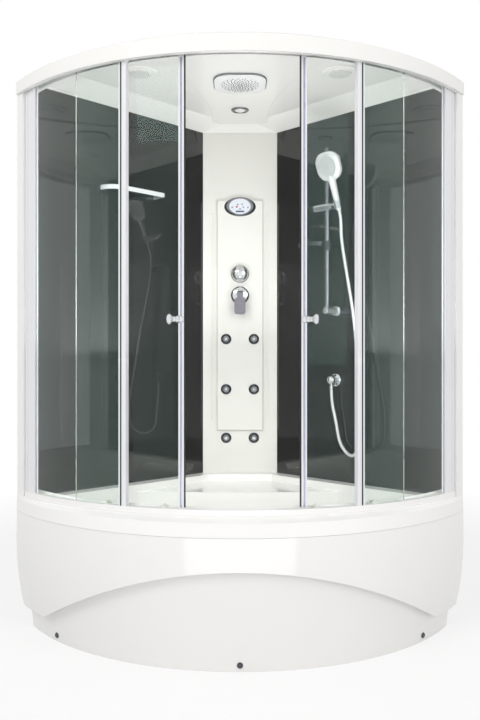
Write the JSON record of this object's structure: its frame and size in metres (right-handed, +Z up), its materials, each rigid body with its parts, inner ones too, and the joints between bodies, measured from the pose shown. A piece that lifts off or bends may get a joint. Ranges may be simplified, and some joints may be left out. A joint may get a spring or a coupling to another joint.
{
  "type": "steam shower cabin",
  "caption": "Quarter-round corner steam shower cabin: deep white tub, curved sliding glass doors, domed roof, control column, handset on a rail and glass shelf.",
  "frame": {"origin": "on the floor, under the middle of the bounding box", "axes": "+X to the bather's right as seen from the doors, +Y towards the corner of the room, +Z up"},
  "size_m": [1.7036, 1.312, 2.15],
  "materials": {
    "white_acrylic": "gloss white acrylic",
    "white_moulding": "satin white moulding",
    "chrome": "polished chrome plate",
    "satin_chrome": "satin chrome plate",
    "steel_frame": "galvanised steel",
    "white_profile": "white powder coated aluminium",
    "mill_aluminium": "plain aluminium",
    "dark_glass": "back-painted dark glass",
    "tinted_glass": "lightly tinted safety glass",
    "clear_glass": "clear glass shelf",
    "black_gasket": "black rubber",
    "brass": "cast brass",
    "copper_pipe": "copper tube",
    "grey_plastic": "grey plastic",
    "panel_glass": "dark display window",
    "key_grey": "pale keys",
    "lamp_lens": "frosted lens",
    "hose_chrome": "chromed spiral hose",
    "smoked_plastic": "smoked clear plastic",
    "steel_case": "brushed stainless case",
    "nylon": "white nylon"
  },
  "bodies": {
    "cabin": {"tub_shell": "white_acrylic", "apron_panel": "white_acrylic", "apron_screws": "chrome", "base_frame": "steel_frame", "levelling_feet": "steel_frame", "steam_generator": "steel_case", "drain_trap": "grey_plastic", "wall_frames": "mill_aluminium", "wall_glass": "dark_glass", "side_posts": "white_profile", "side_profiles": "white_profile", "rail_bottom": "white_profile", "rail_top": "white_profile", "fixed_glass": "tinted_glass", "fixed_posts": "white_profile", "fixed_gaskets": "black_gasket", "roof_shell": "white_moulding", "overhead_shower": "chrome", "spotlight_ring": "chrome", "spotlight_lens": "lamp_lens", "ceiling_discs": "white_moulding", "column_panel": "white_acrylic", "control_bezel": "satin_chrome", "control_display": "panel_glass", "control_keys": "key_grey", "valve_rosettes": "chrome", "valve_body": "brass", "supply_pipes": "copper_pipe", "jet_rings": "chrome", "shelf_gallery": "chrome", "shelf_glass": "clear_glass", "slider_rail": "chrome", "slider_brackets": "chrome", "soap_dish": "smoked_plastic", "outlet_elbow": "chrome", "shower_hose": "hose_chrome"},
    "door_left": {"door_glass_left": "tinted_glass", "door_strip_left": "white_profile", "door_seal_left": "black_gasket", "door_knob_left": "chrome", "door_rollers_left": "nylon"},
    "door_right": {"door_glass_right": "tinted_glass", "door_strip_right": "white_profile", "door_seal_right": "black_gasket", "door_knob_right": "chrome", "door_rollers_right": "nylon"},
    "mixer_cap": {"mixer_cap": "chrome"},
    "mixer_lever": {"mixer_lever": "chrome"},
    "diverter_knob": {"diverter_knob": "chrome"},
    "slider_carriage": {"slider_carriage": "satin_chrome"},
    "slider_clamp": {"slider_clamp": "satin_chrome"},
    "handset": {"handset_holder": "chrome", "handset": "chrome"},
    "drain_plug": {"drain_plug": "chrome"},
    "jet_nozzle_1": {"jet_nozzle_1": "grey_plastic"},
    "jet_nozzle_2": {"jet_nozzle_2": "grey_plastic"},
    "jet_nozzle_3": {"jet_nozzle_3": "grey_plastic"},
    "jet_nozzle_4": {"jet_nozzle_4": "grey_plastic"},
    "jet_nozzle_5": {"jet_nozzle_5": "grey_plastic"},
    "jet_nozzle_6": {"jet_nozzle_6": "grey_plastic"}
  },
  "joints": [
    {"name": "door_left_roll", "type": "hinge", "parent": "cabin", "child": "door_left", "pos_m": [0, 0.46, 1.2], "axis": [0, 0, -1], "range_deg": [-10.25, 7]},
    {"name": "door_right_roll", "type": "hinge", "parent": "cabin", "child": "door_right", "pos_m": [0, 0.46, 1.2], "axis": [0, 0, 1], "range_deg": [-11.28, 6.5]},
    {"name": "mixer_turn", "type": "hinge", "parent": "cabin", "child": "mixer_cap", "pos_m": [0, 0.435, 1.327], "axis": [0, -1, 0], "range_deg": [-45, 45]},
    {"name": "mixer_lift", "type": "hinge", "parent": "mixer_cap", "child": "mixer_lever", "pos_m": [0, 0.4125, 1.337], "axis": [-1, 0, 0], "range_deg": [0, 25]},
    {"name": "diverter_turn", "type": "hinge", "parent": "cabin", "child": "diverter_knob", "pos_m": [0, 0.435, 1.427], "axis": [0, -1, 0], "range_deg": [-135, 135]},
    {"name": "carriage_slide", "type": "slide", "parent": "cabin", "child": "slider_carriage", "axis": [0, 0, 1], "range_m": [-0.12, 0.17], "deforming": ["shower_hose"]},
    {"name": "clamp_turn", "type": "hinge", "parent": "slider_carriage", "child": "slider_clamp", "pos_m": [0.37123, 0.15608, 1.68], "axis": [0.7071, -0.7071, 0], "range_deg": [0, 180]},
    {"name": "handset_tilt", "type": "hinge", "parent": "slider_carriage", "child": "handset", "pos_m": [0.41224, 0.11506, 1.68], "axis": [0.7071, -0.7071, 0], "range_deg": [-12, 15], "deforming": ["shower_hose"]},
    {"name": "plug_lift", "type": "slide", "parent": "cabin", "child": "drain_plug", "axis": [0, 0, 1], "range_m": [0, 0.008]},
    {"name": "jet_1_tilt", "type": "hinge", "parent": "cabin", "child": "jet_nozzle_1", "pos_m": [-0.0642, 0.436, 1.125], "axis": [1, 0, 0], "range_deg": [-12, 12]},
    {"name": "jet_2_tilt", "type": "hinge", "parent": "cabin", "child": "jet_nozzle_2", "pos_m": [0.0642, 0.436, 1.125], "axis": [1, 0, 0], "range_deg": [-12, 12]},
    {"name": "jet_3_tilt", "type": "hinge", "parent": "cabin", "child": "jet_nozzle_3", "pos_m": [-0.0642, 0.436, 0.893], "axis": [1, 0, 0], "range_deg": [-12, 12]},
    {"name": "jet_4_tilt", "type": "hinge", "parent": "cabin", "child": "jet_nozzle_4", "pos_m": [0.0642, 0.436, 0.893], "axis": [1, 0, 0], "range_deg": [-12, 12]},
    {"name": "jet_5_tilt", "type": "hinge", "parent": "cabin", "child": "jet_nozzle_5", "pos_m": [-0.0642, 0.448, 0.667], "axis": [1, 0, 0], "range_deg": [-12, 12]},
    {"name": "jet_6_tilt", "type": "hinge", "parent": "cabin", "child": "jet_nozzle_6", "pos_m": [0.0642, 0.448, 0.667], "axis": [1, 0, 0], "range_deg": [-12, 12]}
  ]
}
